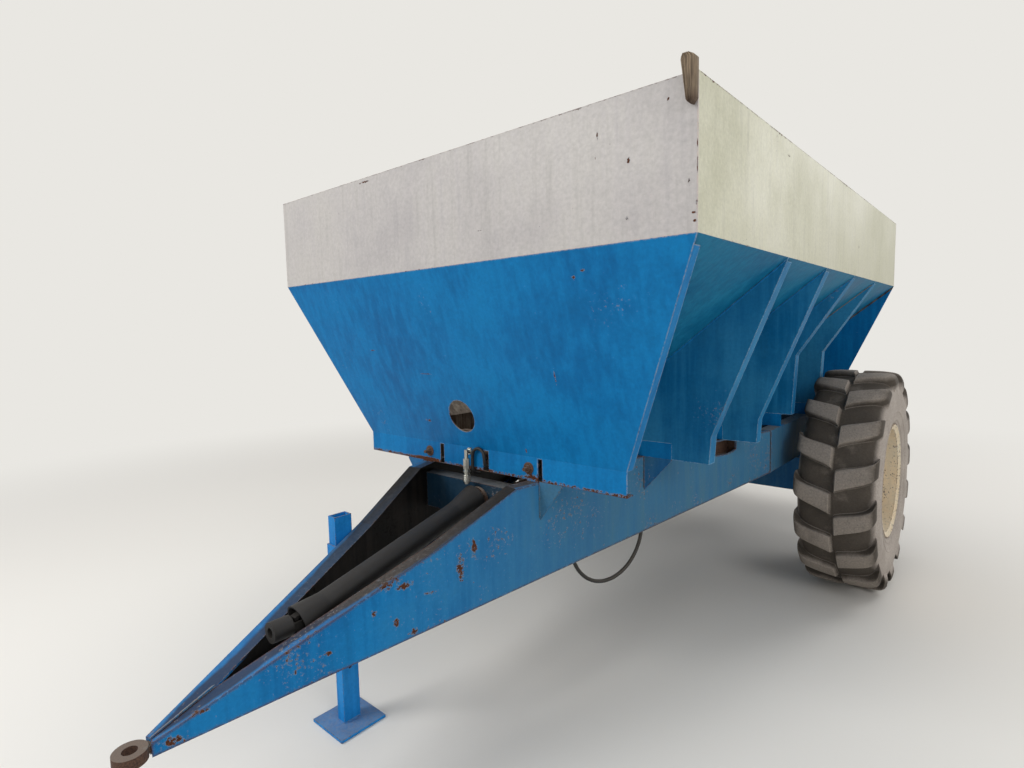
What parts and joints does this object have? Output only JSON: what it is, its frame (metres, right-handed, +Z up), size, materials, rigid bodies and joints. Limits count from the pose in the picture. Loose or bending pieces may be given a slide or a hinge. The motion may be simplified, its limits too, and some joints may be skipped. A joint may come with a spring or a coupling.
{
  "type": "manure spreader",
  "caption": "Trailed manure spreader: a sloping-sided steel hopper with floor conveyor, lifting gate and spinning discs, on a plate drawbar with towing eye, drop-leg stand and lugged tyres.",
  "frame": {"origin": "on the ground under the middle of the machine's box, from the towing eye's front to the discs' rear edge, on the centre line", "axes": "+X to the machine's left side, +Y to the rear along its length, +Z up"},
  "size_m": [2.622, 5.368, 2.43],
  "materials": {
    "blue_paint": "chalky, dusty enamel, chipped and rusting along its edges",
    "white_paint": "chalky off-white enamel, stained and chipped",
    "cream_paint": "worn cream enamel with rust",
    "worn_steel": "dull rusty steel",
    "bright_steel": "plated steel",
    "tyre_rubber": "faded, dusty rubber",
    "black_plastic": "greasy, dusty",
    "black_rubber": "dull",
    "weathered_timber": "grey, weathered"
  },
  "bodies": {
    "chassis": {"board_front": "white_paint", "board_left": "white_paint", "board_right": "white_paint", "board_rear": "white_paint", "front_wall": "blue_paint", "side_wall_left": "blue_paint", "side_wall_right": "blue_paint", "rear_wall": "blue_paint", "ribs_left": "blue_paint", "ribs_right": "blue_paint", "bearers": "blue_paint", "conveyor_floor": "worn_steel", "channel_side_left": "blue_paint", "channel_side_right": "blue_paint", "conveyor": "worn_steel", "front_sprocket_shaft": "worn_steel", "rear_sprocket_shaft": "worn_steel", "take_up_bolts": "worn_steel", "drawbar_beam_left": "blue_paint", "drawbar_beam_right": "blue_paint", "frame_rail_left": "blue_paint", "frame_rail_right": "blue_paint", "cross_members": "blue_paint", "gussets": "blue_paint", "hitch_eye": "worn_steel", "axle_box": "blue_paint", "stub_axles": "worn_steel", "stand_sleeve": "blue_paint", "shaft_guard": "black_plastic", "guard_rest": "worn_steel", "line_shaft": "worn_steel", "rear_shaft": "black_plastic", "gearbox": "worn_steel", "gearbox_frame": "blue_paint", "spinner_shield": "blue_paint", "gate_guides": "blue_paint", "ram_barrel": "worn_steel", "coupler": "bright_steel", "hose": "black_rubber", "hose_clips": "worn_steel", "corner_wedge": "weathered_timber"},
    "wheel_left": {"hub_left": "worn_steel", "rim_left": "cream_paint", "tyre_left": "tyre_rubber"},
    "wheel_right": {"hub_right": "worn_steel", "rim_right": "cream_paint", "tyre_right": "tyre_rubber"},
    "stand": {"stand_leg": "blue_paint"},
    "disc_left": {"spinner_left": "worn_steel"},
    "disc_right": {"spinner_right": "worn_steel"},
    "gate": {"gate": "blue_paint", "ram_rod": "bright_steel"}
  },
  "joints": [
    {"name": "wheel_left_spin", "type": "hinge", "parent": "chassis", "child": "wheel_left", "pos_m": [1.096, 1.19, 0.6925], "axis": [1, 0, 0], "continuous": true},
    {"name": "wheel_right_spin", "type": "hinge", "parent": "chassis", "child": "wheel_right", "pos_m": [-1.096, 1.19, 0.6925], "axis": [1, 0, 0], "continuous": true},
    {"name": "disc_left_spin", "type": "hinge", "parent": "chassis", "child": "disc_left", "pos_m": [0.336, 2.364, 0.815], "axis": [0, 0, 1], "continuous": true},
    {"name": "disc_right_spin", "type": "hinge", "parent": "chassis", "child": "disc_right", "pos_m": [-0.336, 2.364, 0.815], "axis": [0, 0, 1], "continuous": true},
    {"name": "gate_lift", "type": "slide", "parent": "chassis", "child": "gate", "axis": [0, 0, 1], "range_m": [0, 0.45]},
    {"name": "stand_slide", "type": "slide", "parent": "chassis", "child": "stand", "axis": [0, 0, 1], "range_m": [0, 0.45]}
  ],
  "couplings": [
    {"joint": "disc_right_spin", "follows": "disc_left_spin", "ratio": -1}
  ]
}
